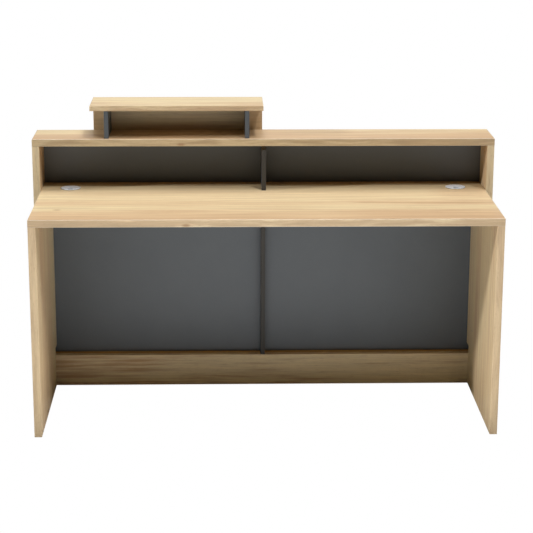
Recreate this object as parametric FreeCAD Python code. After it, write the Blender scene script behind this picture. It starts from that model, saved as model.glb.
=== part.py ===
import FreeCAD, Part
import os

# Reception desk in melamine board, in millimetres.
# X runs to the right as staff see it, Y towards the visitor and Z up from the floor.
# The origin is on the floor, at the middle of the overall width and depth.

# Board stock
OAK_BOARD = 25.0
GREY_BOARD = 15.0
RISER_BOARD = 18.0
BAND = 2.0
BAND_ROUND = 1.5

# Desk: desktop on two panel legs
OVERALL_WIDTH = 1600.0
DESKTOP_DEPTH = 575.0
LEG_HEIGHT = 720.0
NOTCH_HEIGHT = 142.0
NOTCH_CLEARANCE = 1.5

# Counter unit around the back of the desk
COUNTER_DEPTH = 182.0
COUNTER_LAP = 147.0
COUNTER_SIDE_HEIGHT = 903.0
PLINTH_HEIGHT = 114.0
LEDGE_DEPTH = 44.0
DIVIDER_SETBACK = 5.5
DIVIDER_HEAD_GAP = 15.0
GROOVE_DEPTH = 5.0
GROOVE_CLEARANCE = 0.2

# Riser: raised shelf on the left half of the counter
RISER_LENGTH = 598.0
RISER_DEPTH = 190.0
RISER_END_X = -2.0
SUPPORT_HEIGHT = 96.0
SUPPORT_INSET = 48.5
SUPPORT_SETBACK = 1.0
RISER_PANEL_LAP = 25.0

# Cable grommets in the desktop
GROMMET_HOLE_D = 60.0
GROMMET_END_INSET = 100.0
GROMMET_BACK_INSET = 97.0
FLANGE_D = 69.0
FLANGE_HEIGHT = 2.4
FLANGE_ROUND = 1.2
SLEEVE_WALL = 1.8
SLEEVE_SHORT = 5.0
LID_RIM = 3.2
LID_THICKNESS = 1.5
LID_SKIRT = 8.0
LID_SKIRT_WALL = 1.4
NOTCH_WIDTH = 18.0
NOTCH_REACH = 14.0
SHUTTER_THICKNESS = 1.4
PIVOT_D = 5.0
PIVOT_HEAD_D = 8.0
PIVOT_HEAD_HEIGHT = 1.2
SEAT_CLEARANCE = 0.3
RUNNING_CLEARANCE = 0.08

# Levelling glides under the legs and counter sides
GLIDE_STAND = 2.0
GLIDE_RECESS = 4.0
GLIDE_RECESS_WALL = 1.75
GLIDE_CHAMFER = 0.8
GLIDE_INSET = 55.0
SPINDLE_D = 8.0
SPINDLE_LENGTH = 26.0
FOOT_FLOOR = 2.0
SOCKET_WALL = 2.0
SOCKET_CAP = 3.0

# Knock-down fittings
FIT_CLEARANCE = 0.1
BORE_SPARE = 0.5
DOWEL_D = 8.0
DOWEL_CHAMFER = 1.0
DOWEL_IN_FACE = 10.0
DOWEL_IN_EDGE = 20.0
CAM_D = 15.0
CAM_BEYOND_BOLT = 4.0
CAM_REACH = 34.0
CAM_SLOT = 2.0
CAM_SLOT_LENGTH = 9.0
COVER_D = 17.0
COVER_HEIGHT = 1.2
COVER_CHAMFER = 0.6
BOLT_D = 6.0
BOLT_NECK_D = 4.5
BOLT_HEAD = 3.0
BOLT_NECK = 4.0
BOLT_THREAD = 11.0
BOLT_PLAY = 0.5
SCREW_D = 4.5
SCREW_HEAD_D = 9.0
SCREW_HEAD_HEIGHT = 3.0
SCREW_BITE = 18.0
RISER_SCREW_BITE = 32.0

# Places of the fittings along their joints
DESK_DOWEL_INSET = 60.0
DESK_CAM_INSET = 110.0
COUNTER_DOWEL_INSET = 25.0
COUNTER_CAM_INSET = 62.0
PLINTH_DOWEL_INSET = 30.0
PLINTH_DOWEL_PITCH = 400.0
PLINTH_DOWELS = 4
BASE_DOWEL_INSET = 12.0
BASE_CAM_INSET = 14.0
LEG_SCREW_INSET = 35.0
LEG_SCREW_LOW = 220.0
LEG_SCREW_HIGH = 640.0
RISER_DOWEL_SPREAD = 100.0
RISER_SCREW_SPREAD = 60.0
RISER_PANEL_DOWEL_INSET = 100.0

# Heights
boards_foot = GLIDE_STAND
desktop_under = boards_foot + LEG_HEIGHT
desktop_top = desktop_under + OAK_BOARD
counter_under = boards_foot + COUNTER_SIDE_HEIGHT
counter_top = counter_under + OAK_BOARD
ledge_top = boards_foot + PLINTH_HEIGHT
base_under = ledge_top - OAK_BOARD
panel_foot = ledge_top - GROOVE_DEPTH
panel_head = counter_under + GROOVE_DEPTH
divider_head = counter_under - DIVIDER_HEAD_GAP
shelf_under = counter_top + SUPPORT_HEIGHT
shelf_top = shelf_under + RISER_BOARD

# Depths, from the staff edge of the desktop to the visitor face of the riser
total_depth = DESKTOP_DEPTH - COUNTER_LAP + COUNTER_DEPTH + RISER_BOARD
desk_front = -total_depth / 2
panel_front = desk_front + DESKTOP_DEPTH
panel_back = panel_front + GREY_BOARD
counter_front = panel_front - COUNTER_LAP
counter_back = counter_front + COUNTER_DEPTH
plinth_front = panel_front - LEDGE_DEPTH
plinth_back = plinth_front + OAK_BOARD
riser_back = counter_back + RISER_BOARD
shelf_front = riser_back - RISER_DEPTH
support_front = shelf_front + SUPPORT_SETBACK
divider_front = counter_front + DIVIDER_SETBACK
notch_front = plinth_front - NOTCH_CLEARANCE

# Widths
half_width = OVERALL_WIDTH / 2
desk_half = half_width - OAK_BOARD
leg_inside = desk_half - OAK_BOARD
divider_half = GREY_BOARD / 2
shelf_left = RISER_END_X - RISER_LENGTH

# Closer than this, two places are the same
SAME_PLACE = 1e-6

X_AXIS = FreeCAD.Vector(1, 0, 0)
Y_AXIS = FreeCAD.Vector(0, 1, 0)
Z_AXIS = FreeCAD.Vector(0, 0, 1)
SIDES = {"left": -1, "right": 1}

pieces = {}
bores = {}


def point(x, y, z):
    return FreeCAD.Vector(x, y, z)


def box(low, high):
    size = [b - a for a, b in zip(low, high)]
    return Part.makeBox(*size, point(*low))


def rod(start, direction, diameter, length):
    return Part.makeCylinder(diameter / 2, length, start, direction)


def turned(profile, start, direction):
    """Solid of revolution: profile points are (radius, distance along the direction)."""
    outline = Part.makePolygon([point(r, 0, h) for r, h in profile + profile[:1]])
    solid = Part.Face(outline).revolve(point(0, 0, 0), Z_AXIS, 360)
    solid.Placement = FreeCAD.Placement(start, FreeCAD.Rotation(Z_AXIS, direction))
    return solid


def add(node, *solids):
    pieces.setdefault(node, []).extend(solids)


def bore(board, cutter):
    bores.setdefault(board, []).append(cutter)


def span(side, inner, outer):
    """Low and high X of something between two distances from the middle, on one side."""
    return sorted((side * inner, side * outer))


# Boards and their edge bands

# Each edge of a board: the axis across it, and whether it is at that axis's high end
BOARD_EDGES = {"left": ("X", False), "right": ("X", True), "staff": ("Y", False), "visitor": ("Y", True),
               "lower": ("Z", False), "upper": ("Z", True)}
ALL_ROUND = ("staff", "visitor", "left", "right")


def band_strip(low, high, axis, at_high):
    """Edge band along one side of a board, with the long outer edges rounded."""
    low, high = list(low), list(high)
    if at_high:
        low[axis] = high[axis] - BAND
    else:
        high[axis] = low[axis] + BAND
    strip = box(low, high)
    outer = high[axis] if at_high else low[axis]
    longest = max(range(3), key=lambda k: high[k] - low[k])
    rounded = []
    for edge in strip.Edges:
        ends = [vertex.Point for vertex in edge.Vertexes]
        on_outer_face = all(abs(end[axis] - outer) < SAME_PLACE for end in ends)
        if on_outer_face and abs(ends[0][longest] - ends[1][longest]) > BAND:
            rounded.append(edge)
    return strip.makeFillet(BAND_ROUND, rounded)


def banded_board(node, low, high, edges, band_node):
    """Board whose named edges carry bands; later bands butt on earlier ones."""
    low, high = list(low), list(high)
    for edge in edges:
        letter, at_high = BOARD_EDGES[edge]
        axis = "XYZ".index(letter)
        add(band_node, band_strip(low, high, axis, at_high))
        if at_high:
            high[axis] -= BAND
        else:
            low[axis] += BAND
    add(node, box(low, high))


def make_desk_boards():
    banded_board("desktop", (-desk_half, desk_front, desktop_under), (desk_half, panel_front, desktop_top),
                 ALL_ROUND, "desktop_edging")
    for name, side in SIDES.items():
        x_low, x_high = span(side, leg_inside, desk_half)
        banded_board(name + "_leg", (x_low, desk_front, boards_foot), (x_high, panel_front, desktop_under),
                     ("staff",), name + "_leg_edging")
        notch_top = boards_foot + NOTCH_HEIGHT
        bore(name + "_leg", box((x_low, notch_front, boards_foot), (x_high, panel_front, notch_top)))


def make_counter_boards():
    for name, side in SIDES.items():
        x_low, x_high = span(side, desk_half, half_width)
        banded_board(name + "_counter_side", (x_low, counter_front, boards_foot),
                     (x_high, counter_back, counter_under), ("staff", "visitor"),
                     name + "_counter_side_edging")
    banded_board("counter_top", (-half_width, counter_front, counter_under),
                 (half_width, counter_back, counter_top), ALL_ROUND, "counter_top_edging")
    banded_board("plinth_board", (-desk_half, plinth_front, boards_foot), (desk_half, plinth_back, ledge_top),
                 ("upper",), "plinth_edging")
    banded_board("base_board", (-desk_half, plinth_back, base_under), (desk_half, counter_back, ledge_top),
                 ("visitor",), "base_board_edging")


def make_back_panels():
    """Grey panels that stand in grooves in the counter sides, counter top and base board."""
    groove_front = panel_front - GROOVE_CLEARANCE
    groove_back = panel_back + GROOVE_CLEARANCE
    groove_foot = panel_foot - GROOVE_CLEARANCE
    groove_head = panel_head + GROOVE_CLEARANCE
    groove_end = desk_half + GROOVE_DEPTH + GROOVE_CLEARANCE
    for name, side in SIDES.items():
        x_low, x_high = span(side, divider_half, desk_half + GROOVE_DEPTH)
        add(name + "_back_panel", box((x_low, panel_front, panel_foot), (x_high, panel_back, panel_head)))
        x_low, x_high = span(side, desk_half, groove_end)
        side_groove = box((x_low, groove_front, groove_foot), (x_high, groove_back, counter_under))
        bore(name + "_counter_side", side_groove)
    top_groove = box((-groove_end, groove_front, counter_under), (groove_end, groove_back, groove_head))
    base_groove = box((-desk_half, groove_front, groove_foot), (desk_half, groove_back, ledge_top))
    bore("counter_top", top_groove)
    bore("base_board", base_groove)


def make_divider():
    """Centre divider in one board, cut out round the back edge of the desktop and short of the counter.
    The strip between the back panels goes on up into the counter's groove."""
    low_part = (-divider_half, plinth_front, ledge_top), (divider_half, panel_back, desktop_under)
    high_part = (-divider_half, divider_front, desktop_top), (divider_half, panel_back, divider_head)
    back_strip = box((-divider_half, panel_front, ledge_top), (divider_half, panel_back, panel_head))
    for low, high in (low_part, high_part):
        banded_board("centre_divider", low, high, ("staff",), "divider_edging")
    add("centre_divider", back_strip.fuse(pieces.pop("centre_divider")).removeSplitter())


def make_riser_boards():
    banded_board("riser_shelf", (shelf_left, shelf_front, shelf_under), (RISER_END_X, riser_back, shelf_top),
                 ALL_ROUND, "riser_shelf_edging")
    banded_board("riser_front_panel", (shelf_left, counter_back, counter_top - RISER_PANEL_LAP),
                 (RISER_END_X, riser_back, shelf_under), ("left", "right", "lower"),
                 "riser_front_panel_edging")
    for name, middle in support_middles().items():
        x_low, x_high = middle - GREY_BOARD / 2, middle + GREY_BOARD / 2
        banded_board(name + "_riser_support", (x_low, support_front, counter_top),
                     (x_high, counter_back, shelf_under), ("staff",), name + "_support_edging")


def support_middles():
    reach = SUPPORT_INSET + GREY_BOARD / 2
    return {"left": shelf_left + reach, "right": RISER_END_X - reach}


# Cable grommets

def make_grommet(name, x):
    """Sleeve in the desktop, lid that lies in its flange, and shutter that turns under the lid's notch."""
    y = panel_front - GROMMET_BACK_INSET
    centre = point(x, y, desktop_top)
    bore("desktop", rod(point(x, y, desktop_under), Z_AXIS, GROMMET_HOLE_D, OAK_BOARD))

    sleeve_r = GROMMET_HOLE_D / 2 - FIT_CLEARANCE
    throat_r = sleeve_r - SLEEVE_WALL
    flange_r = FLANGE_D / 2
    recess_r = flange_r - LID_RIM
    seat = FLANGE_HEIGHT - LID_THICKNESS
    sleeve_foot = SLEEVE_SHORT - OAK_BOARD
    sleeve = turned([(throat_r, sleeve_foot), (sleeve_r, sleeve_foot), (sleeve_r, 0), (flange_r, 0),
                     (flange_r, FLANGE_HEIGHT), (recess_r, FLANGE_HEIGHT), (recess_r, seat),
                     (throat_r, seat)], centre, Z_AXIS)
    crown = [edge for edge in sleeve.Edges if is_circle(edge, flange_r, desktop_top + FLANGE_HEIGHT)]
    add(name + "_grommet_sleeve", sleeve.makeFillet(FLANGE_ROUND, crown))

    lid_r = recess_r - SEAT_CLEARANCE
    skirt_r = throat_r - SEAT_CLEARANCE
    skirt_bore_r = skirt_r - LID_SKIRT_WALL
    shutter_top = seat - SEAT_CLEARANCE
    shutter_foot = shutter_top - SHUTTER_THICKNESS
    head_top = shutter_foot - SEAT_CLEARANCE
    head_foot = head_top - PIVOT_HEAD_HEIGHT
    pivot_r, head_r = PIVOT_D / 2, PIVOT_HEAD_D / 2
    skirt_foot = seat - LID_SKIRT
    lid = turned([(0, head_foot), (head_r, head_foot), (head_r, head_top), (pivot_r, head_top),
                  (pivot_r, seat), (skirt_bore_r, seat), (skirt_bore_r, skirt_foot), (skirt_r, skirt_foot),
                  (skirt_r, seat), (lid_r, seat), (lid_r, FLANGE_HEIGHT), (0, FLANGE_HEIGHT)],
                 centre, Z_AXIS)
    add(name + "_grommet_lid", lid.cut(cable_notch(centre, -1, lid_r)))

    shutter_r = skirt_bore_r - SEAT_CLEARANCE
    hole_r = pivot_r + RUNNING_CLEARANCE
    shutter = turned([(hole_r, shutter_foot), (shutter_r, shutter_foot), (shutter_r, shutter_top),
                      (hole_r, shutter_top)], centre, Z_AXIS)
    add(name + "_grommet_shutter", shutter.cut(cable_notch(centre, 1, lid_r)))


def cable_notch(centre, facing, reach):
    """Round-ended slot from the rim inwards, open towards -Y or +Y, as a cutter through lid or shutter."""
    depth = LID_SKIRT + FLANGE_HEIGHT
    foot = centre - Z_AXIS * LID_SKIRT
    round_end = rod(foot + Y_AXIS * (facing * NOTCH_REACH), Z_AXIS, NOTCH_WIDTH, depth)
    y_low, y_high = sorted((centre.y + facing * NOTCH_REACH, centre.y + facing * (reach + NOTCH_WIDTH)))
    half = NOTCH_WIDTH / 2
    slot = box((centre.x - half, y_low, foot.z), (centre.x + half, y_high, foot.z + depth))
    return round_end.fuse(slot)


def is_circle(edge, radius, height):
    curve = edge.Curve
    if not isinstance(curve, Part.Circle):
        return False
    return abs(curve.Radius - radius) < SAME_PLACE and abs(curve.Center.z - height) < SAME_PLACE


# Levelling glides

def make_glide(name, board, x, y):
    """Moulded foot on a threaded spindle, half sunk in the board's lower edge, and the spindle's socket."""
    recess_r = OAK_BOARD / 2 - GLIDE_RECESS_WALL
    disc_r = recess_r - SEAT_CLEARANCE
    disc_top = boards_foot + GLIDE_RECESS
    spindle_r = SPINDLE_D / 2
    spindle_top = disc_top + SPINDLE_LENGTH
    socket_bore_r = spindle_r + RUNNING_CLEARANCE
    socket_r = socket_bore_r + SOCKET_WALL
    socket_top = spindle_top + BORE_SPARE + SOCKET_CAP
    floor_point = point(x, y, 0)
    hub_r = spindle_r + FIT_CLEARANCE
    foot = turned([(0, 0), (disc_r - GLIDE_CHAMFER, 0), (disc_r, GLIDE_CHAMFER), (disc_r, disc_top),
                   (hub_r, disc_top), (hub_r, FOOT_FLOOR), (0, FOOT_FLOOR)], floor_point, Z_AXIS)
    spindle = rod(point(x, y, FOOT_FLOOR), Z_AXIS, SPINDLE_D, spindle_top - FOOT_FLOOR)
    bore_top = spindle_top + BORE_SPARE
    socket = turned([(socket_bore_r, disc_top), (socket_r, disc_top), (socket_r, socket_top),
                     (0, socket_top), (0, bore_top), (socket_bore_r, bore_top)], floor_point, Z_AXIS)
    add(name + "_glide_foot", foot)
    add(name + "_glide_spindle", spindle)
    add("glide_sockets", socket)
    bore(board, rod(point(x, y, boards_foot), Z_AXIS, 2 * recess_r, GLIDE_RECESS))
    socket_hole = 2 * (socket_r + FIT_CLEARANCE)
    bore(board, rod(point(x, y, boards_foot), Z_AXIS, socket_hole, socket_top + BORE_SPARE - boards_foot))


# Knock-down fittings; each call also drills the boards that the fitting joins

def fit_dowel(node, at, into_face, face_board, edge_board):
    """Dowel across a joint at a point, pushed in the given direction into the face of one board."""
    dowel_r, length = DOWEL_D / 2, DOWEL_IN_EDGE + DOWEL_IN_FACE
    tip_r = dowel_r - DOWEL_CHAMFER
    add(node, turned([(0, 0), (tip_r, 0), (dowel_r, DOWEL_CHAMFER), (dowel_r, length - DOWEL_CHAMFER),
                      (tip_r, length), (0, length)], at - into_face * DOWEL_IN_EDGE, into_face))
    hole = DOWEL_D + 2 * FIT_CLEARANCE
    bore(face_board, rod(at, into_face, hole, DOWEL_IN_FACE + BORE_SPARE))
    bore(edge_board, rod(at, -into_face, hole, DOWEL_IN_EDGE + BORE_SPARE))


def fit_cam(at, into_face, open_side, face_board, cam_board, covered):
    """Cam lock let into one face of a board, and the bolt that it pulls out of the other board."""
    middle = at - into_face * CAM_REACH
    mouth = middle + open_side * (OAK_BOARD / 2)
    cam_height = OAK_BOARD / 2 + CAM_BEYOND_BOLT
    head_r = BOLT_D / 2
    neck_r = BOLT_NECK_D / 2
    pocket = 2 * (head_r + BOLT_PLAY)

    cam = rod(mouth, -open_side, CAM_D, cam_height)
    cam = cam.cut(rod(middle - into_face * (BOLT_HEAD + BOLT_PLAY), into_face, pocket, CAM_D))
    across = open_side.cross(into_face)
    for along, over in ((into_face, across), (across, into_face)):
        cam = cam.cut(slot_bar(mouth, along, over, open_side))
    add("cam_locks", cam)
    bore(cam_board, rod(mouth, -open_side, CAM_D + 2 * FIT_CLEARANCE, cam_height + BORE_SPARE))

    shank = CAM_REACH + BOLT_HEAD
    bolt = turned([(0, 0), (head_r, 0), (head_r, BOLT_HEAD), (neck_r, BOLT_HEAD),
                   (neck_r, BOLT_HEAD + BOLT_NECK), (head_r, BOLT_HEAD + BOLT_NECK),
                   (head_r, shank + BOLT_THREAD), (0, shank + BOLT_THREAD)],
                  middle - into_face * BOLT_HEAD, into_face)
    add("cam_bolts", bolt)
    bore(cam_board, rod(at, -into_face, pocket, CAM_REACH))
    bore(face_board, rod(at, into_face, BOLT_D + 2 * FIT_CLEARANCE, BOLT_THREAD + BORE_SPARE))
    if covered:
        cover_r = COVER_D / 2
        add("cam_covers", turned([(0, 0), (cover_r, 0), (cover_r, COVER_HEIGHT - COVER_CHAMFER),
                                  (cover_r - COVER_CHAMFER, COVER_HEIGHT), (0, COVER_HEIGHT)],
                                 mouth, open_side))


def slot_bar(mouth, along, over, open_side):
    """One arm of the cross slot in the face of a cam."""
    half_along, half_over = along * (CAM_SLOT_LENGTH / 2), over * (CAM_SLOT / 2)
    deep = open_side * CAM_SLOT
    corner, opposite = mouth - half_along - half_over - deep, mouth + half_along + half_over
    low = [min(a, b) for a, b in zip(corner, opposite)]
    high = [max(a, b) for a, b in zip(corner, opposite)]
    return box(low, high)


def fit_screw(node, head, direction, through, bite, first_board, second_board):
    """Countersunk screw, flush in the first board, through its thickness and into the second."""
    head_r, shank_r = SCREW_HEAD_D / 2, SCREW_D / 2
    length = through + bite
    add(node, turned([(0, 0), (head_r, 0), (shank_r, SCREW_HEAD_HEIGHT), (shank_r, length), (0, length)],
                     head, direction))
    wide = head_r + FIT_CLEARANCE
    hole_r = shank_r + FIT_CLEARANCE
    sunk_hole = turned([(0, 0), (wide, 0), (hole_r, SCREW_HEAD_HEIGHT), (hole_r, through), (0, through)],
                       head, direction)
    bore(first_board, sunk_hole)
    bore(second_board, rod(head + direction * through, direction, 2 * hole_r, bite + BORE_SPARE))


def fasten_desk():
    for name, side in SIDES.items():
        leg, counter_side = name + "_leg", name + "_counter_side"
        x = side * (leg_inside + OAK_BOARD / 2)
        for y in (desk_front + DESK_DOWEL_INSET, panel_front - DESK_DOWEL_INSET):
            fit_dowel("desk_dowels", point(x, y, desktop_under), Z_AXIS, "desktop", leg)
        for y in (desk_front + DESK_CAM_INSET, panel_front - DESK_CAM_INSET):
            fit_cam(point(x, y, desktop_under), Z_AXIS, X_AXIS * -side, "desktop", leg, True)
        for y in (counter_front + LEG_SCREW_INSET, panel_front - LEG_SCREW_INSET):
            for height in (LEG_SCREW_LOW, LEG_SCREW_HIGH):
                head = point(side * leg_inside, y, boards_foot + height)
                fit_screw("leg_screws", head, X_AXIS * side, OAK_BOARD, SCREW_BITE, leg, counter_side)
        make_glide(name + "_front", leg, x, desk_front + GLIDE_INSET)
        make_glide(name + "_middle", leg, x, notch_front - GLIDE_INSET)


def fasten_counter():
    base_middle = ledge_top - OAK_BOARD / 2
    plinth_middle = plinth_front + OAK_BOARD / 2
    for name, side in SIDES.items():
        board = name + "_counter_side"
        x = side * (desk_half + OAK_BOARD / 2)
        for y in (counter_front + COUNTER_DOWEL_INSET, counter_back - COUNTER_DOWEL_INSET):
            fit_dowel("counter_dowels", point(x, y, counter_under), Z_AXIS, "counter_top", board)
        for y in (counter_front + COUNTER_CAM_INSET, counter_back - COUNTER_CAM_INSET):
            fit_cam(point(x, y, counter_under), Z_AXIS, X_AXIS * -side, "counter_top", board, True)
        for z in (boards_foot + PLINTH_DOWEL_INSET, ledge_top - PLINTH_DOWEL_INSET):
            at = point(side * desk_half, plinth_middle, z)
            fit_dowel("base_dowels", at, X_AXIS * side, board, "plinth_board")
        dowel_at = point(side * desk_half, plinth_back + BASE_DOWEL_INSET, base_middle)
        fit_dowel("base_dowels", dowel_at, X_AXIS * side, board, "base_board")
        cam_at = point(side * desk_half, counter_back - BASE_CAM_INSET, base_middle)
        fit_cam(cam_at, X_AXIS * side, -Z_AXIS, board, "base_board", False)
        make_glide(name + "_back", board, x, counter_back - GLIDE_INSET)
    row_start = -(PLINTH_DOWELS - 1) * PLINTH_DOWEL_PITCH / 2
    for place in range(PLINTH_DOWELS):
        at = point(row_start + place * PLINTH_DOWEL_PITCH, plinth_back, base_middle)
        fit_dowel("base_dowels", at, -Y_AXIS, "plinth_board", "base_board")
    divider_foot = point(0, (plinth_back + panel_front) / 2, ledge_top)
    fit_dowel("base_dowels", divider_foot, -Z_AXIS, "base_board", "centre_divider")


def fasten_riser():
    support_middle_y = (support_front + counter_back) / 2
    for name, x in support_middles().items():
        board = name + "_riser_support"
        for step in (-0.5, 0.5):
            shelf_at = point(x, support_middle_y + step * RISER_DOWEL_SPREAD, shelf_under)
            fit_dowel("riser_dowels", shelf_at, Z_AXIS, "riser_shelf", board)
            head = point(x, support_middle_y + step * RISER_SCREW_SPREAD, counter_under)
            fit_screw("riser_screws", head, Z_AXIS, OAK_BOARD, RISER_SCREW_BITE, "counter_top", board)
        panel_at = point(x, counter_back, counter_top + SUPPORT_HEIGHT / 2)
        fit_dowel("riser_dowels", panel_at, Y_AXIS, "riser_front_panel", board)
    panel_middle = counter_back + RISER_BOARD / 2
    for x in (shelf_left + RISER_PANEL_DOWEL_INSET, RISER_END_X - RISER_PANEL_DOWEL_INSET):
        at = point(x, panel_middle, shelf_under)
        fit_dowel("riser_dowels", at, Z_AXIS, "riser_shelf", "riser_front_panel")


def write_parts():
    os.makedirs("parts", exist_ok=True)
    for node, solids in pieces.items():
        if node in bores:
            solids = [solid.cut(bores[node]) for solid in solids]
        shape = solids[0] if len(solids) == 1 else Part.makeCompound(solids)
        shape.exportStep("parts/" + node + ".step")


make_desk_boards()
make_counter_boards()
make_back_panels()
make_divider()
make_riser_boards()
for side_name, side_sign in SIDES.items():
    make_grommet(side_name, side_sign * (desk_half - GROMMET_END_INSET))
fasten_desk()
fasten_counter()
fasten_riser()
write_parts()
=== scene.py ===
import math
from collections import namedtuple

import bmesh
import bpy
from mathutils import Matrix, Vector


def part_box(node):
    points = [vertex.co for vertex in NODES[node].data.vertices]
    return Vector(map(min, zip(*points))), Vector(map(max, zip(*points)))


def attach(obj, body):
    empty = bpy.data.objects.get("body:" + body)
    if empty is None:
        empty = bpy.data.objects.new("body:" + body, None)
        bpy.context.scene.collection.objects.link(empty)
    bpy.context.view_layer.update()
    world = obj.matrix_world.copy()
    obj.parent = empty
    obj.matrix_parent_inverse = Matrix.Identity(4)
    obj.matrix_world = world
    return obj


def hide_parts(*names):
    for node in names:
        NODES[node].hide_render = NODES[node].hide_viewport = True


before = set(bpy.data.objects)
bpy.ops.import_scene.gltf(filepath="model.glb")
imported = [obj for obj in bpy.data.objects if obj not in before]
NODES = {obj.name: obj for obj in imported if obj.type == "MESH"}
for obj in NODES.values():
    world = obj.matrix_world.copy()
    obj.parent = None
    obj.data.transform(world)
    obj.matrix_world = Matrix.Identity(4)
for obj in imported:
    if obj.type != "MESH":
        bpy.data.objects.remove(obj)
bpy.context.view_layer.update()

# Reception desk in light oak and anthracite board, in metres.
# X runs to the right as staff see it, Y towards the visitor and Z up from the floor.

MILLIMETRE = 0.001

# Faces that zones of the finishes lie on, and the thickness of an edge band
SIDE_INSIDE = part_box("right_counter_side")[0].x
PANEL_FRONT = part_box("left_back_panel")[0].y
RISER_PANEL_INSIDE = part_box("riser_front_panel")[0].y
COUNTER_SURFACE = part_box("counter_top")[1].z
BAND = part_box("desktop")[0].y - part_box("desktop_edging")[0].y

# Camera at the photograph's place: metres and degrees, the focal length and the picture's side in pixels, the
# sensor's width in millimetres, and how far the camera sees in metres
CAMERA_PLACE = Vector((-0.1506, -5.6352, 2.0232))
CAMERA_YAW = 1.5984
CAMERA_PITCH = 15.0753
CAMERA_ROLL = -0.1792
FOCAL_PIXELS = 1690.85
PICTURE_PIXELS = 533
SENSOR = 36.0
CAMERA_REACH = 200.0

# Broad distant lights: turn to the right of the staff side, height, angular size (all in degrees), strength
LIGHTS = {"overhead": (87.0, 83.0, 43.0, 2.5),
          "key": (29.0, 59.5, 3.5, 0.85),
          "left_side": (284.5, 20.5, 3.0, 1.3),
          "right_side": (82.0, 17.0, 10.0, 0.66),
          "back": (180.0, 10.0, 20.0, 0.08)}

# Upward glow from parts of the floor: the middle's X and Y, width, depth (all in metres), radiance
GLOWS = {"near_floor": (0.0, -0.72, 1.25, 0.75, 2.15),
         "far_floor": (0.5, -4.5, 6.0, 5.0, 0.9),
         "back_floor": (0.0, 2.4, 5.0, 3.4, 1.2)}
GLOW_HEIGHT = 0.01

# Strength of the even surroundings, the floor's side and grey, and how often matt surfaces pass light on
SURROUND = 0.02
FLOOR_SIZE = 80.0
FLOOR_TONE = 0.5
DIFFUSE_BOUNCES = 2
WHITE = (1.0, 1.0, 1.0, 1.0)

# The range that holds most values of a noise, how far a noise moves the roughness, and the strength of a bump
NOISE_LOW = 0.3
NOISE_HIGH = 0.7
ROUGHNESS_SPREAD = 0.05
BUMP_STRENGTH = 0.4

# Oak print: pinkish and pale tones as sRGB from 0 to 255, figure and contrast of the streaks, roughness and
# specular level
Print = namedtuple("Print", "pink pale figure contrast roughness specular")
BOARD_OAK = Print((214, 181, 142), (228, 208, 166), 1.0, 1.0, 0.45, 0.4)
LEG_OAK = BOARD_OAK._replace(pink=(216, 185, 146), pale=(226, 205, 164), contrast=0.7)
PLINTH_OAK = BOARD_OAK._replace(pink=(207, 170, 128), pale=(230, 210, 168), figure=1.6)
# Darker copy of the board oak for the base board: painted shade on its ledge deep in the knee space
BASE_OAK_PAINTED_SHADE = BOARD_OAK._replace(pink=(184, 140, 78), pale=(196, 154, 90))
BAND_OAK = Print((204, 176, 138), (222, 201, 161), 3.0, 1.0, 0.35, 0.5)
# Darker copy of the band oak for the counter top's front edge: painted shade
COUNTER_BAND_OAK_PAINTED_SHADE = BAND_OAK._replace(pink=(188, 162, 123), pale=(204, 182, 142))
LEG_BAND_OAK = BAND_OAK._replace(pink=(208, 178, 140), pale=(219, 193, 153), contrast=0.8)
BEECH = Print((200, 160, 118), (214, 178, 136), 1.0, 0.8, 0.6, 0.3)
# Dark oak tone for pores, knots and lines, and a dull tone; both also serve some zones as painted shade
OAK_DARK = (172, 136, 98)
OAK_DULL = (204, 168, 130)
# Pale tone of the painted highlight on the rounded edges of two bands
PAINTED_HIGHLIGHT_TONE = (246, 234, 214)

# Noises of the oak print: streaks to a metre along and across the grain, and detail
PRINT_SWAY = 1.3, 2.0, 1.0
PRINT_CLOUDS = 0.6, 7.0, 1.0
PRINT_BANDS = 2.4, 85.0, 3.0
PRINT_FINE = 5.0, 230.0, 2.0
PRINT_PORES = 22.0, 1100.0, 0.0

# How far the streaks sway, and how far along the grain one seed's pattern is from the next one's, in metres
SWAY_WIDTH = 0.012
SEED_STEP = 7.3

# How much of each noise goes into the paleness and the lightness, and the paleness at which the pale tone
# sets in and is full
PALE_BY_BANDS = 0.9
PALE_BY_CLOUDS = 0.7
PALE_START = 0.65
PALE_FULL = 0.95
LIGHT_BY_BANDS = 0.44
LIGHT_BY_FINE = 0.24

# Noise at which pores set in and are full, and their share of the dark tone; the relief of the print, and the
# fine streaks' share of it
PORE_START = 0.62
PORE_FULL = 0.80
PORE_SHARE = 0.35
OAK_RELIEF = 0.2 * MILLIMETRE
FINE_SHARE = 0.4

# Painted highlight on the rounded edges of a band: how squarely a face lies where the paler tone sets in and
# is full, and its share
PAINTED_HIGHLIGHT_START = 0.99
PAINTED_HIGHLIGHT_FULL = 0.93
PAINTED_HIGHLIGHT_SHARE = 0.7

# Dark line: half width, where along X it sets in and is full, from its start, and its share of the dark tone
LINE_HALF_WIDTH = 7 * MILLIMETRE
LINE_START = -0.02
LINE_FULL = 0.04
LINE_SHARE = 0.85

# Knot: half length, half width, the part of these that is full, and its share of the dark tone
KNOT_HALF_LENGTH = 20 * MILLIMETRE
KNOT_HALF_WIDTH = 8 * MILLIMETRE
KNOT_CORE = 0.2
KNOT_SHARE = 0.95

# Zone: where it sets in and is full, as shares of its half width, and the half width, square to a face, of a
# zone that lies on that face alone
ZONE_START = 1.5
ZONE_FULL = 0.5
FACE_DEPTH = 6 * MILLIMETRE

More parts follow.
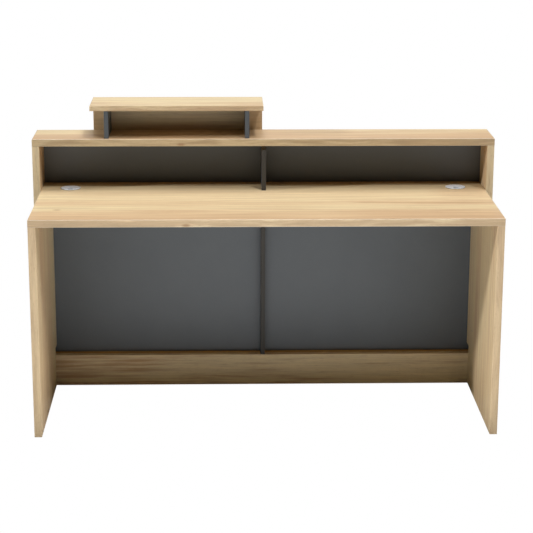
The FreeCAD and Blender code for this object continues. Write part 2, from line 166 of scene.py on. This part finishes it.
# Axis of the grain, paleness and print of each board and band, whose place in the list is its seed
OAK_NODES = {"desktop": ("X", 0.0, BOARD_OAK),
             "counter_top": ("X", -0.15, BOARD_OAK),
             "plinth_board": ("X", 0.08, PLINTH_OAK),
             "base_board": ("X", 0.0, BASE_OAK_PAINTED_SHADE),
             "riser_shelf": ("X", 0.15, BOARD_OAK),
             "riser_front_panel": ("X", 0.2, BOARD_OAK),
             "left_leg": ("Z", 0.0, LEG_OAK),
             "right_leg": ("Z", 0.1, LEG_OAK),
             "left_counter_side": ("Z", 0.0, LEG_OAK),
             "right_counter_side": ("Z", 0.0, LEG_OAK),
             "desktop_edging": ("X", -0.1, BAND_OAK),
             "counter_top_edging": ("X", 0.0, COUNTER_BAND_OAK_PAINTED_SHADE),
             "plinth_edging": ("X", 0.0, BAND_OAK),
             "base_board_edging": ("X", 0.0, BAND_OAK),
             "riser_shelf_edging": ("X", 0.0, BAND_OAK),
             "riser_front_panel_edging": ("X", 0.0, BAND_OAK),
             "left_leg_edging": ("Z", 0.15, LEG_BAND_OAK),
             "right_leg_edging": ("Z", 0.0, LEG_BAND_OAK),
             "left_counter_side_edging": ("Z", 0.2, BAND_OAK),
             "right_counter_side_edging": ("Z", 0.2, BAND_OAK)}

# Seeds of the prints on the cover caps and dowels
CAP_SEED = 30
DOWEL_SEED = 31

# Bands that go round the ends of their boards, and the axis of the grain there
END_GRAINS = {"desktop_edging": "Y", "counter_top_edging": "Y", "riser_shelf_edging": "Y",
              "riser_front_panel_edging": "Z"}

# About the middle height of the space between the desktop and the counter
UPPER_SPACE = 0.83

# Zones where the tone turns towards another, some of them print and some painted shade: the tone, its share,
# and on each axis that bounds the zone its middle and half width
OAK_ZONES_AND_PAINTED_SHADE = {"desktop": ((BOARD_OAK.pink, 0.7, {"Y": (-0.29, 0.08)}),
                         (BOARD_OAK.pale, 0.6, {"Y": (-0.15, 0.02)}),
                         (OAK_DULL, 0.5, {"Y": (-0.297, 0.014)}),
                         (BOARD_OAK.pink, 0.5, {"Y": (-0.08, 0.03)}),
                         (BOARD_OAK.pale, 0.5, {"Y": (0.02, 0.05)}),
                         (BOARD_OAK.pale, 0.6, {"Y": (0.19, 0.14)}),
                         (OAK_DULL, 0.5, {"X": (0.6, 0.3), "Y": (-0.28, 0.12)}),
                         (OAK_DULL, 0.4, {"X": (0.72, 0.12), "Y": (0.07, 0.08)}),
                         # Painted shade: darker strip along the back of the desktop, under the counter
                         (OAK_DARK, 0.55, {"Y": (0.255, 0.03)})),
             "desktop_edging": ((BAND_OAK.pink, 0.7, {"X": (-0.6, 0.22)}),),
             "counter_top": ((BOARD_OAK.pale, 0.8, {"X": (-0.75, 0.14), "Y": (0.27, 0.06)}),
                             (OAK_DULL, 0.5, {"Y": (0.13, 0.02)}),
                             # Painted shade on the counter top at the back, under the riser
                             (OAK_DARK, 0.6, {"X": (-0.3, 0.19), "Y": (0.28, 0.04)}),
                             # Painted shadow of the riser shelf on the counter top, behind the shelf's front
                             # edge
                             (OAK_DARK, 0.7, {"X": (-0.32, 0.22), "Y": (0.165, 0.035)})),
             # Painted shade on the inner face of the left counter side, between the desktop and the counter
             "left_counter_side": ((OAK_DULL, 0.6, {"X": (-SIDE_INSIDE, FACE_DEPTH),
                                                    "Z": (UPPER_SPACE, 0.1)}),),
             "riser_shelf": ((OAK_DULL, 0.4, {"X": (-0.02, 0.1), "Y": (0.14, 0.05)}),),
             # Painted shade on the riser front panel beside the supports, under the shelf
             "riser_front_panel": ((OAK_DULL, 0.5, {"X": (-0.58, 0.05)}),
                                   (OAK_DULL, 0.6, {"X": (-0.02, 0.05)}),
                                   # Painted shade at the foot of the riser front panel's inner face
                                   (OAK_DARK, 0.6, {"X": (-0.3, 0.19), "Y": (RISER_PANEL_INSIDE, FACE_DEPTH),
                                                    "Z": (COUNTER_SURFACE, 0.02)}))}

# Dark lines on a top: X and Y of the start, and of another point further along
DARK_LINES = {"desktop": ((0.296, -0.072), (0.72, -0.074))}

# Knots: the axis across the grain, X, and the place on that axis
KNOTS = {"desktop": ("Y", -0.692, -0.17),
         "desktop_edging": ("Z", -0.263, 0.7275),
         "counter_top_edging": ("Z", -0.287, 0.911)}

# Bands whose rounded edges get a painted highlight
PAINTED_HIGHLIGHT_BANDS = ("desktop_edging", "counter_top_edging")

# Anthracite board and its duller edge band: dark and pale tones, specular level
ANTHRACITE_BOARD = (59, 67, 75), (69, 77, 84), 0.9
ANTHRACITE_BAND = (67, 66, 64), (75, 73, 70), 0.2

# Painted light on the grey panels' upper ends, which are paler: the ends' X and the paler tone's share there,
# and the half length and half height of the zones
ANTHRACITE_PAINTED_LIGHT = (86, 92, 99)
PAINTED_LIGHT_PANEL_ENDS = (-SIDE_INSIDE, 0.6), (SIDE_INSIDE, 0.35)
PAINTED_LIGHT_HALF_LENGTH = 0.2
PAINTED_LIGHT_HALF_HEIGHT = 0.075
GREY_PAINTED_LIGHT_ZONES = [(ANTHRACITE_PAINTED_LIGHT, share, {"X": (end, PAINTED_LIGHT_HALF_LENGTH), "Y": (PANEL_FRONT, FACE_DEPTH),
                                        "Z": (UPPER_SPACE, PAINTED_LIGHT_HALF_HEIGHT)})
              for end, share in PAINTED_LIGHT_PANEL_ENDS]

# Nodes in grey board, and those in its duller band
GREY_BOARDS = ("left_back_panel", "right_back_panel", "centre_divider", "left_riser_support",
               "right_riser_support", "left_support_edging", "right_support_edging")
DULL_GREY_BANDS = ("divider_edging",)

# Grain and clouds of the grey print to a metre, the clouds' share, the roughness, and the grain's relief
GREY_GRAIN = 700.0
GREY_CLOUDS = 9.0
CLOUD_SHARE = 0.25
GREY_ROUGHNESS = 0.47
GREY_RELIEF = 0.1 * MILLIMETRE

# Silver grommets: dark and pale tones, and the tone of the upright walls, which on the sleeve is painted
# shade
GROMMET_SILVERS = {"sleeve": ((242, 248, 254), (249, 252, 255), (80, 75, 70)),
                   "lid": ((240, 247, 254), (249, 252, 255), (236, 244, 252)),
                   "shutter": ((184, 190, 196), (202, 208, 214), (184, 190, 196))}
SILVER_SPECULAR = 0.15
SILVER_ROUGHNESS = 0.35

# Turned rings and mottle of the silver to a metre, the rings' relief and strength, and the upward lean of a
# face at which the walls' tone, painted shade on the sleeve, sets in and is full
SILVER_RINGS = 2500.0
SILVER_MOTTLE = 900.0
RING_RELIEF = 0.05 * MILLIMETRE
RING_STRENGTH = 0.5
WALL_SHADE_START = 0.35
WALL_SHADE_FULL = 0.1

# Fittings: dark and pale tones, roughness and metallic level; the mottle to a metre and its relief
STEEL = (150, 150, 150), (185, 185, 186), 0.35, 1.0
ZINC = (140, 142, 145), (176, 178, 181), 0.45, 1.0
BLACK_PLASTIC = (34, 34, 35), (42, 42, 43), 0.5, 0.0
MOTTLE = 500.0
MOTTLE_RELIEF = 0.05 * MILLIMETRE

# Threads: steps in a turn, pitches, depth, and the root of a screw's thread as a share of its crest
THREAD_STEPS = 18
SPINDLE_PITCH = 1.25 * MILLIMETRE
SPINDLE_THREAD_DEPTH = 0.7 * MILLIMETRE
SCREW_PITCH = 1.8 * MILLIMETRE
SCREW_ROOT = 0.68

# Screw heads: steps round the rim; the cross recess's arm and width as shares of the head's radius, its depth
# as a share of the head's height, and its floor as a share of its mouth
HEAD_STEPS = 24
CROSS_ARM = 0.62
CROSS_WIDTH = 0.28
CROSS_DEPTH = 0.6
CROSS_TAPER = 0.6

# Reading a plain screw: points this close together are one, points this near the tip are on the shank, and so
# are those within this share of its radius
MERGE_DISTANCE = 0.001 * MILLIMETRE
TIP_LENGTH = 2 * MILLIMETRE
SHANK_TOLERANCE = 1.05


def linear(value):
    """One sRGB channel, 0 to 255, as linear light."""
    share = value / 255
    return share / 12.92 if share <= 0.04045 else ((share + 0.055) / 1.055) ** 2.4


def colour(srgb):
    return tuple(linear(channel) for channel in srgb) + (1.0,)


class Shader:
    """A material under construction: adds nodes and links them to one principled surface."""

    def __init__(self, name):
        self.material = bpy.data.materials.new(name)
        self.material.use_nodes = True
        self.tree = self.material.node_tree
        self.surface = self.tree.nodes["Principled BSDF"]

    def feed(self, socket, value):
        if isinstance(value, bpy.types.NodeSocket):
            self.tree.links.new(value, socket)
        else:
            socket.default_value = value

    def add(self, kind, inputs, **settings):
        node = self.tree.nodes.new("ShaderNode" + kind)
        for key, value in settings.items():
            setattr(node, key, value)
        for key, value in inputs.items():
            self.feed(node.inputs[key], value)
        return node

    def set(self, **values):
        for key, value in values.items():
            self.feed(self.surface.inputs[key.replace("_", " ")], value)

    def math(self, operation, a, b=0.0, c=0.0):
        return self.add("Math", {0: a, 1: b, 2: c}, operation=operation).outputs[0]

    def apart(self, one, other):
        """Distance between two values."""
        return self.math("ABSOLUTE", self.math("SUBTRACT", one, other))

    def slant(self, one, other):
        """Length of the slanting side of a right triangle with the two sides given."""
        return self.math("SQRT", self.math("MULTIPLY_ADD", one, one, self.math("MULTIPLY", other, other)))

    def place(self):
        """X, Y and Z on the object, which is the row frame with the part at rest."""
        coordinates = self.tree.nodes.new("ShaderNodeTexCoord").outputs["Object"]
        return dict(zip("XYZ", self.add("SeparateXYZ", {0: coordinates}).outputs))

    def leans(self):
        """How squarely the surface faces along X, Y and Z, from 0 to 1 each."""
        normal = self.tree.nodes.new("ShaderNodeTexCoord").outputs["Normal"]
        return [self.math("ABSOLUTE", lean) for lean in self.add("SeparateXYZ", {0: normal}).outputs]

    def noise(self, places, scale, detail=2.0):
        """Noise over three places, each multiplied by its own scale."""
        x, y, z = (self.math("MULTIPLY", place, factor) for place, factor in zip(places, scale))
        vector = self.add("CombineXYZ", {0: x, 1: y, 2: z}).outputs[0]
        return self.add("TexNoise", {"Vector": vector, "Scale": 1.0, "Detail": detail}).outputs[0]

    def cloudy(self, per_metre):
        """Noise that is alike in all directions."""
        return self.noise(self.place().values(), (per_metre, per_metre, per_metre))

    def fade(self, value, start, end, low=0.0, high=1.0):
        """Smooth step from low to high as the value goes from start to end."""
        inputs = {"Value": value, "From Min": start, "From Max": end, "To Min": low, "To Max": high}
        return self.add("MapRange", inputs, interpolation_type="SMOOTHSTEP").outputs[0]

    def blend(self, share, first, second):
        """Value between two others."""
        return self.add("Mix", {0: share, 2: first, 3: second}, data_type="FLOAT").outputs[0]

    def mix(self, share, first, second):
        """Colour between two others."""
        return self.add("Mix", {0: share, 6: first, 7: second}, data_type="RGBA").outputs[2]

    def tones(self, noise, dark, pale):
        """Colour that a noise moves between two sRGB tones."""
        return self.mix(self.fade(noise, NOISE_LOW, NOISE_HIGH), colour(dark), colour(pale))

    def brighten(self, tone, factor):
        return self.add("HueSaturation", {"Value": factor, "Color": tone}).outputs[0]

    def roughen(self, noise, middle):
        """Roughness that a noise moves a little about its middle."""
        low, high = middle - ROUGHNESS_SPREAD, middle + ROUGHNESS_SPREAD
        self.set(Roughness=self.fade(noise, NOISE_LOW, NOISE_HIGH, low, high))

    def bump(self, height, distance, strength=BUMP_STRENGTH):
        node = self.add("Bump", {"Strength": strength, "Distance": distance, "Height": height})
        self.set(Normal=node.outputs[0])


# Marks in a finish, among them painted shade and a painted highlight, each laid over the tone so far

def zone(shader, place, tone, target, share, spans):
    """Soft-edged zone, bounded on the axes in spans, where the tone turns towards another."""
    for axis, (middle, half) in spans.items():
        off = shader.apart(place[axis], middle)
        share = shader.math("MULTIPLY", share, shader.fade(off, ZONE_START * half, ZONE_FULL * half))
    return shader.mix(share, tone, colour(target))


def dark_line(shader, place, tone, start, end):
    """Thin darker streak on a top, from one X and Y through another, which fades in at its start."""
    slope = (end[1] - start[1]) / (end[0] - start[0])
    beyond = shader.math("SUBTRACT", place["X"], start[0])
    off = shader.apart(place["Y"], shader.math("MULTIPLY_ADD", beyond, slope, start[1]))
    begun = shader.fade(beyond, LINE_START, LINE_FULL, 0.0, LINE_SHARE)
    share = shader.math("MULTIPLY", shader.fade(off, LINE_HALF_WIDTH, 0.0), begun)
    return shader.mix(share, tone, colour(OAK_DARK))


def knot(shader, place, tone, across, x, at):
    """Small dark knot at an X and at a place on the axis across the grain."""
    off_x = shader.math("MULTIPLY", shader.math("SUBTRACT", place["X"], x), 1 / KNOT_HALF_LENGTH)
    off_across = shader.math("MULTIPLY", shader.math("SUBTRACT", place[across], at), 1 / KNOT_HALF_WIDTH)
    share = shader.fade(shader.slant(off_x, off_across), 1.0, KNOT_CORE, 0.0, KNOT_SHARE)
    return shader.mix(share, tone, colour(OAK_DARK))


def painted_edge_highlight(shader, tone):
    """Painted highlight: paler tone on the rounded edges of a band."""
    x, y, z = shader.leans()
    squarest = shader.math("MAXIMUM", shader.math("MAXIMUM", x, y), z)
    share = shader.fade(squarest, PAINTED_HIGHLIGHT_START, PAINTED_HIGHLIGHT_FULL, 0.0, PAINTED_HIGHLIGHT_SHARE)
    return shader.mix(share, tone, colour(PAINTED_HIGHLIGHT_TONE))


def oak_marks(shader, place, tone, node):
    """All that a node's print shows beside its streaks, with the painted shade and painted highlight among
    its marks.
    """
    for details in OAK_ZONES_AND_PAINTED_SHADE.get(node, ()):
        tone = zone(shader, place, tone, *details)
    if node in DARK_LINES:
        tone = dark_line(shader, place, tone, *DARK_LINES[node])
    if node in KNOTS:
        tone = knot(shader, place, tone, *KNOTS[node])
    if node in PAINTED_HIGHLIGHT_BANDS:
        tone = painted_edge_highlight(shader, tone)
    return tone


# Oak

def grain_places(shader, place, grain, node):
    """Places along and twice across the grain, which has an axis of its own where a band crosses the ends."""
    grown = dict(place)
    if node in END_GRAINS:
        end_grain = END_GRAINS[node]
        low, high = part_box(node)
        from_middle = shader.apart(place["X"], (low.x + high.x) / 2)
        at_end = shader.math("GREATER_THAN", from_middle, (high.x - low.x) / 2 - BAND)
        grown["X"] = shader.blend(at_end, place["X"], place[end_grain])
        grown[end_grain] = shader.blend(at_end, place[end_grain], place["X"])
    return grown.pop(grain), *grown.values()


def oak(name, grain, seed, finish, paleness=0.0, node=None):
    """Straight-grained pale wood with the grain along one axis. The seed moves the pattern, and a node brings
    its own marks."""
    shader = Shader(name)
    place = shader.place()
    along, first, second = grain_places(shader, place, grain, node)
    along = shader.math("ADD", along, SEED_STEP * seed)

    def streaks(places, per_metre_along, per_metre_across, detail):
        scale = per_metre_along * finish.figure, per_metre_across, per_metre_across
        return shader.noise(places, scale, detail)

    sway = streaks((along, first, second), *PRINT_SWAY)
    sway = shader.math("MULTIPLY_ADD", sway, SWAY_WIDTH * finish.figure, seed)
    swayed = along, shader.math("ADD", first, sway), shader.math("ADD", second, sway)
    clouds = streaks(swayed, *PRINT_CLOUDS)
    bands = streaks(swayed, *PRINT_BANDS)
    fine = streaks(swayed, *PRINT_FINE)
    pores = shader.fade(streaks(swayed, *PRINT_PORES), PORE_START, PORE_FULL, 0.0, PORE_SHARE)

    pale = shader.math("MULTIPLY_ADD", clouds, PALE_BY_CLOUDS, paleness)
    pale = shader.math("MULTIPLY_ADD", bands, PALE_BY_BANDS, pale)
    tone = shader.mix(shader.fade(pale, PALE_START, PALE_FULL), colour(finish.pink), colour(finish.pale))
    tone = oak_marks(shader, place, tone, node)

    # A noise has a mean of a half, and the streaks leave the mean lightness at 1
    streaky = shader.math("MULTIPLY_ADD", fine, LIGHT_BY_FINE, -(LIGHT_BY_BANDS + LIGHT_BY_FINE) / 2)
    streaky = shader.math("MULTIPLY_ADD", bands, LIGHT_BY_BANDS, streaky)
    light = shader.math("MULTIPLY_ADD", streaky, finish.contrast, 1.0)
    tone = shader.mix(pores, shader.brighten(tone, light), colour(OAK_DARK))
    shader.set(Base_Color=tone, Specular_IOR_Level=finish.specular)
    shader.roughen(fine, finish.roughness)
    shader.bump(shader.math("SUBTRACT", shader.math("MULTIPLY", fine, FINE_SHARE), pores), OAK_RELIEF)
    return shader.material


# Grey board, metals and plastics

def anthracite(name, dark, pale, specular, zones=()):
    """Dark grey print with a fine grain and faint clouds, and zones of painted light laid over it where
    given.
    """
    shader = Shader(name)
    place = shader.place()
    grain = shader.cloudy(GREY_GRAIN)
    share = shader.math("MULTIPLY", grain, 1 - CLOUD_SHARE)
    share = shader.math("MULTIPLY_ADD", shader.cloudy(GREY_CLOUDS), CLOUD_SHARE, share)
    tone = shader.tones(share, dark, pale)
    for details in zones:
        tone = zone(shader, place, tone, *details)
    shader.set(Base_Color=tone, Specular_IOR_Level=specular)
    shader.roughen(grain, GREY_ROUGHNESS)
    shader.bump(grain, GREY_RELIEF)
    return shader.material


def satin_silver(name, centre, dark, pale, wall):
    """Pale silver finish with fine turned rings round the centre, and another tone on upright walls, which is
    painted shade on the sleeve.
    """
    shader = Shader(name)
    place = shader.place()
    from_x = shader.math("SUBTRACT", place["X"], centre.x)
    from_y = shader.math("SUBTRACT", place["Y"], centre.y)
    rings = shader.noise((shader.slant(from_x, from_y), place["Y"], place["Z"]), (SILVER_RINGS, 0.0, 0.0))
    upright_shade = shader.fade(shader.leans()[2], WALL_SHADE_START, WALL_SHADE_FULL)
    tone = shader.mix(upright_shade, shader.tones(rings, dark, pale), colour(wall))
    shader.set(Base_Color=tone, Specular_IOR_Level=SILVER_SPECULAR)
    shader.roughen(shader.cloudy(SILVER_MOTTLE), SILVER_ROUGHNESS)
    shader.bump(rings, RING_RELIEF, RING_STRENGTH)
    return shader.material


def mottled(name, dark, pale, roughness, metallic):
    """Plain finish with a faint fine mottle, for metal fittings and moulded plastic."""
    shader = Shader(name)
    mottle = shader.cloudy(MOTTLE)
    shader.set(Base_Color=shader.tones(mottle, dark, pale), Metallic=metallic)
    shader.roughen(mottle, roughness)
    shader.bump(mottle, MOTTLE_RELIEF)
    return shader.material


# Finishes on the nodes

def dress(node, material):
    mesh = NODES[node].data
    mesh.materials.clear()
    mesh.materials.append(material)


def dress_oak():
    for seed, (node, (grain, paleness, finish)) in enumerate(OAK_NODES.items()):
        dress(node, oak("oak_" + node, grain, seed, finish, paleness, node))


def dress_grey():
    # The board carries painted light on the panels' upper ends
    board = anthracite("anthracite", *ANTHRACITE_BOARD, GREY_PAINTED_LIGHT_ZONES)
    band = anthracite("anthracite_band", *ANTHRACITE_BAND)
    for node in GREY_BOARDS:
        dress(node, board)
    for node in DULL_GREY_BANDS:
        dress(node, band)


def dress_grommets():
    for side in ("left", "right"):
        low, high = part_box(side + "_grommet_sleeve")
        for piece, silver in GROMMET_SILVERS.items():
            node = side + "_grommet_" + piece
            dress(node, satin_silver("silver_" + node, (low + high) / 2, *silver))


def dress_fittings(steel):
    dress("cam_locks", mottled("zinc", *ZINC))
    dress("cam_covers", oak("oak_caps", "Z", CAP_SEED, BOARD_OAK))
    for node in ("cam_bolts", "leg_screws", "riser_screws"):
        dress(node, steel)
    beech = oak("beech", "Z", DOWEL_SEED, BEECH)
    black_plastic = mottled("black_plastic", *BLACK_PLASTIC)
    for node in NODES:
        if node.endswith("_dowels"):
            dress(node, beech)
        elif node.endswith("_spindle"):
            dress(node, steel)
        elif "glide" in node:
            dress(node, black_plastic)


# Threads and screw heads, which the CAD solids leave plain

def on_circle(radius, angle, height):
    return radius * math.cos(angle), radius * math.sin(angle), height


def thread(group, crest, root, pitch, start, end):
    """Closed thread along Z from start to end, whose crest runs out at both ends."""
    steps = round((end - start) / pitch * THREAD_STEPS) - THREAD_STEPS
    valley, ridge = [], []
    for step in range(steps + THREAD_STEPS + 1):
        angle = math.tau * step / THREAD_STEPS
        height = start + pitch * step / THREAD_STEPS
        valley.append(group.verts.new(on_circle(root, angle, height)))
        if step <= steps:
            full = min(1.0, step / THREAD_STEPS, (steps - step) / THREAD_STEPS)
            radius = root + (crest - root) * full
            ridge.append(group.verts.new(on_circle(radius, angle, height + pitch / 2)))
    for step in range(steps):
        above = step + THREAD_STEPS
        group.faces.new((valley[step], valley[step + 1], ridge[step + 1], ridge[step]))
        group.faces.new((ridge[step], ridge[step + 1], valley[above + 1], valley[above]))
    for first, height in ((0, start), (steps, end)):
        middle = group.verts.new((0.0, 0.0, height))
        border = [ridge[first]] + valley[first:first + THREAD_STEPS + 1] + [ridge[first]]
        for one, other in zip(border, border[1:]):
            group.faces.new((middle, one, other))


def cross_head(group, radius, neck, height):
    """Countersunk screw head with a tapered cross recess; its face is at height 0."""
    def ring(points):
        vertices = [group.verts.new(point) for point in points]
        edges = [group.edges.new(pair) for pair in zip(vertices, vertices[1:] + vertices[:1])]
        return vertices, edges

    def cross(share, depth):
        arm, half = share * CROSS_ARM * radius, share * CROSS_WIDTH * radius / 2
        corners = Vector((arm, -half, depth)), Vector((arm, half, depth)), Vector((half, half, depth))
        turns = [Matrix.Rotation(quarter * math.pi / 2, 3, "Z") for quarter in range(4)]
        return [turn @ corner for turn in turns for corner in corners]

    def circle(size, at):
        return [on_circle(size, math.tau * step / HEAD_STEPS, at) for step in range(HEAD_STEPS)]

    def wall(one, other):
        for k in range(len(one)):
            group.faces.new((one[k - 1], one[k], other[k], other[k - 1]))

    rim, rim_edges = ring(circle(radius, 0.0))
    mouth, mouth_edges = ring(cross(1.0, 0.0))
    pit = ring(cross(CROSS_TAPER, CROSS_DEPTH * height))[0]
    collar = ring(circle(neck, height))[0]
    wall(rim, collar)
    wall(mouth, pit)
    group.faces.new(pit)
    group.faces.new(collar)
    bmesh.ops.triangle_fill(group, edges=rim_edges + mouth_edges, use_beauty=True)


def add_piece(name, group, material, node, body):
    """New mesh in the row frame that takes the place of a CAD node and moves with its body."""
    bmesh.ops.recalc_face_normals(group, faces=group.faces)
    mesh = bpy.data.meshes.new(name)
    group.to_mesh(mesh)
    group.free()
    mesh.materials.append(material)
    piece = bpy.data.objects.new(name, mesh)
    bpy.context.scene.collection.objects.link(piece)
    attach(piece, body)
    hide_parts(node)


def thread_spindles(steel):
    for node in [name for name in NODES if name.endswith("_glide_spindle")]:
        low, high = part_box(node)
        crest = (high.x - low.x) / 2
        group = bmesh.new()
        thread(group, crest, crest - SPINDLE_THREAD_DEPTH, SPINDLE_PITCH, low.z, high.z)
        middle = (low + high) / 2
        group.transform(Matrix.Translation((middle.x, middle.y, 0.0)))
        add_piece("threaded_" + node, group, steel, node, node.replace("_spindle", ""))


def islands(mesh):
    """Points of each separate solid in a mesh, in the mesh's own order."""
    group = bmesh.new()
    group.from_mesh(mesh)
    bmesh.ops.remove_doubles(group, verts=group.verts, dist=MERGE_DISTANCE)
    found = []
    seen = set()
    for first in group.verts:
        if first in seen:
            continue
        seen.add(first)
        reached = [first]
        for vertex in reached:
            neighbours = [edge.other_vert(vertex) for edge in vertex.link_edges]
            fresh = [other for other in neighbours if other not in seen]
            seen.update(fresh)
            reached.extend(fresh)
        found.append([vertex.co.copy() for vertex in reached])
    group.free()
    return found


def cut_screw(points):
    """Mesh of a screw with a cross recess and a thread, at the place of a plain one that has these points."""
    low, high = (Vector(pick(point[k] for point in points) for k in range(3)) for pick in (min, max))
    middle = (low + high) / 2
    axis = max(range(3), key=lambda k: high[k] - low[k])
    across = [k for k in range(3) if k != axis]

    def reach(point):
        return math.hypot(*(point[k] - middle[k] for k in across))

    head = middle.copy()
    head[axis] = max(points, key=reach)[axis]
    tip = 2 * middle[axis] - head[axis]
    length = high[axis] - low[axis]
    head_radius = max(high[k] - low[k] for k in across) / 2
    shank = max(reach(point) for point in points if abs(point[axis] - tip) < TIP_LENGTH)
    neck = min(abs(point[axis] - head[axis]) for point in points if reach(point) < SHANK_TOLERANCE * shank)

    group = bmesh.new()
    cross_head(group, head_radius, shank, neck)
    thread(group, shank, SCREW_ROOT * shank, SCREW_PITCH, neck - SCREW_PITCH, length)
    towards = Vector((0.0, 0.0, 0.0))
    towards[axis] = 1.0 if tip > head[axis] else -1.0
    group.transform(Matrix.Translation(head) @ towards.to_track_quat("Z", "Y").to_matrix().to_4x4())
    mesh = bpy.data.meshes.new("one_screw")
    group.to_mesh(mesh)
    group.free()
    return mesh


def cut_screws(node, steel):
    group = bmesh.new()
    for points in islands(NODES[node].data):
        mesh = cut_screw(points)
        group.from_mesh(mesh)
        bpy.data.meshes.remove(mesh)
    add_piece("cross_" + node, group, steel, node, "frame")


# Stage

def make_floor():
    """Floor that the camera sees as pure white, and that lights the desk as a pale matt floor would."""
    bpy.ops.mesh.primitive_plane_add(size=FLOOR_SIZE)
    floor = bpy.context.object
    floor.name = "floor"
    shader = Shader("pale_floor")
    shader.set(Base_Color=(FLOOR_TONE, FLOOR_TONE, FLOOR_TONE, 1.0), Roughness=1.0, Specular_IOR_Level=0.0)
    white = shader.add("Emission", {"Color": WHITE, "Strength": 1.0})
    seen = shader.tree.nodes.new("ShaderNodeLightPath").outputs["Is Camera Ray"]
    surface = shader.add("MixShader", {0: seen, 1: shader.surface.outputs[0], 2: white.outputs[0]})
    shader.tree.links.new(surface.outputs[0], shader.tree.nodes["Material Output"].inputs["Surface"])
    floor.data.materials.append(shader.material)


def make_world():
    """Dim even surroundings, which the camera sees as white."""
    world = bpy.data.worlds.new("studio")
    bpy.context.scene.world = world
    world.use_nodes = True
    tree = world.node_tree
    seen = tree.nodes.new("ShaderNodeLightPath").outputs["Is Camera Ray"]
    strength = tree.nodes.new("ShaderNodeMapRange")
    strength.inputs["To Min"].default_value = SURROUND
    strength.inputs["To Max"].default_value = 1.0
    tree.links.new(seen, strength.inputs["Value"])
    tree.nodes["Background"].inputs["Color"].default_value = WHITE
    tree.links.new(strength.outputs[0], tree.nodes["Background"].inputs["Strength"])


def make_lights():
    """Broad distant lights, each turned to shine from its own direction."""
    for name, (turn, height, size, strength) in LIGHTS.items():
        light = bpy.data.lights.new(name, "SUN")
        light.energy = strength
        light.angle = math.radians(size)
        turn, height = math.radians(turn), math.radians(height)
        level = math.cos(height)
        towards = Vector((math.sin(turn) * level, -math.cos(turn) * level, math.sin(height)))
        holder = bpy.data.objects.new(name, light)
        holder.rotation_mode = "QUATERNION"
        holder.rotation_quaternion = towards.to_track_quat("Z", "Y")
        bpy.context.scene.collection.objects.link(holder)


def make_glows():
    """Upward light from parts of the floor round the desk, which the camera doesn't see."""
    for name, (x, y, width, depth, radiance) in GLOWS.items():
        light = bpy.data.lights.new(name, "AREA")
        light.shape = "RECTANGLE"
        light.size, light.size_y = width, depth
        light.energy = radiance * math.pi * width * depth
        holder = bpy.data.objects.new(name, light)
        holder.location = (x, y, GLOW_HEIGHT)
        holder.rotation_euler = (math.pi, 0.0, 0.0)
        holder.visible_camera = False
        bpy.context.scene.collection.objects.link(holder)


def make_camera():
    yaw, pitch, roll = (math.radians(angle) for angle in (CAMERA_YAW, CAMERA_PITCH, CAMERA_ROLL))
    ahead = Vector((math.sin(yaw) * math.cos(pitch), math.cos(yaw) * math.cos(pitch), -math.sin(pitch)))
    level = Vector((math.cos(yaw), -math.sin(yaw), 0.0))
    down = ahead.cross(level)
    right = math.cos(roll) * level + math.sin(roll) * down
    up = math.sin(roll) * level - math.cos(roll) * down
    lens = bpy.data.cameras.new("camera")
    lens.sensor_width = SENSOR
    lens.lens = SENSOR * FOCAL_PIXELS / PICTURE_PIXELS
    lens.clip_end = CAMERA_REACH
    camera = bpy.data.objects.new("camera", lens)
    turn = Matrix((right, up, -ahead)).transposed().to_4x4()
    camera.matrix_world = Matrix.Translation(CAMERA_PLACE) @ turn
    bpy.context.scene.collection.objects.link(camera)
    bpy.context.scene.camera = camera


bright_steel = mottled("steel", *STEEL)
dress_oak()
dress_grey()
dress_grommets()
dress_fittings(bright_steel)
thread_spindles(bright_steel)
for screw_node in ("leg_screws", "riser_screws"):
    cut_screws(screw_node, bright_steel)
make_floor()
make_world()
make_lights()
make_glows()
make_camera()
bpy.context.scene.view_settings.view_transform = "Standard"
bpy.context.scene.cycles.diffuse_bounces = DIFFUSE_BOUNCES
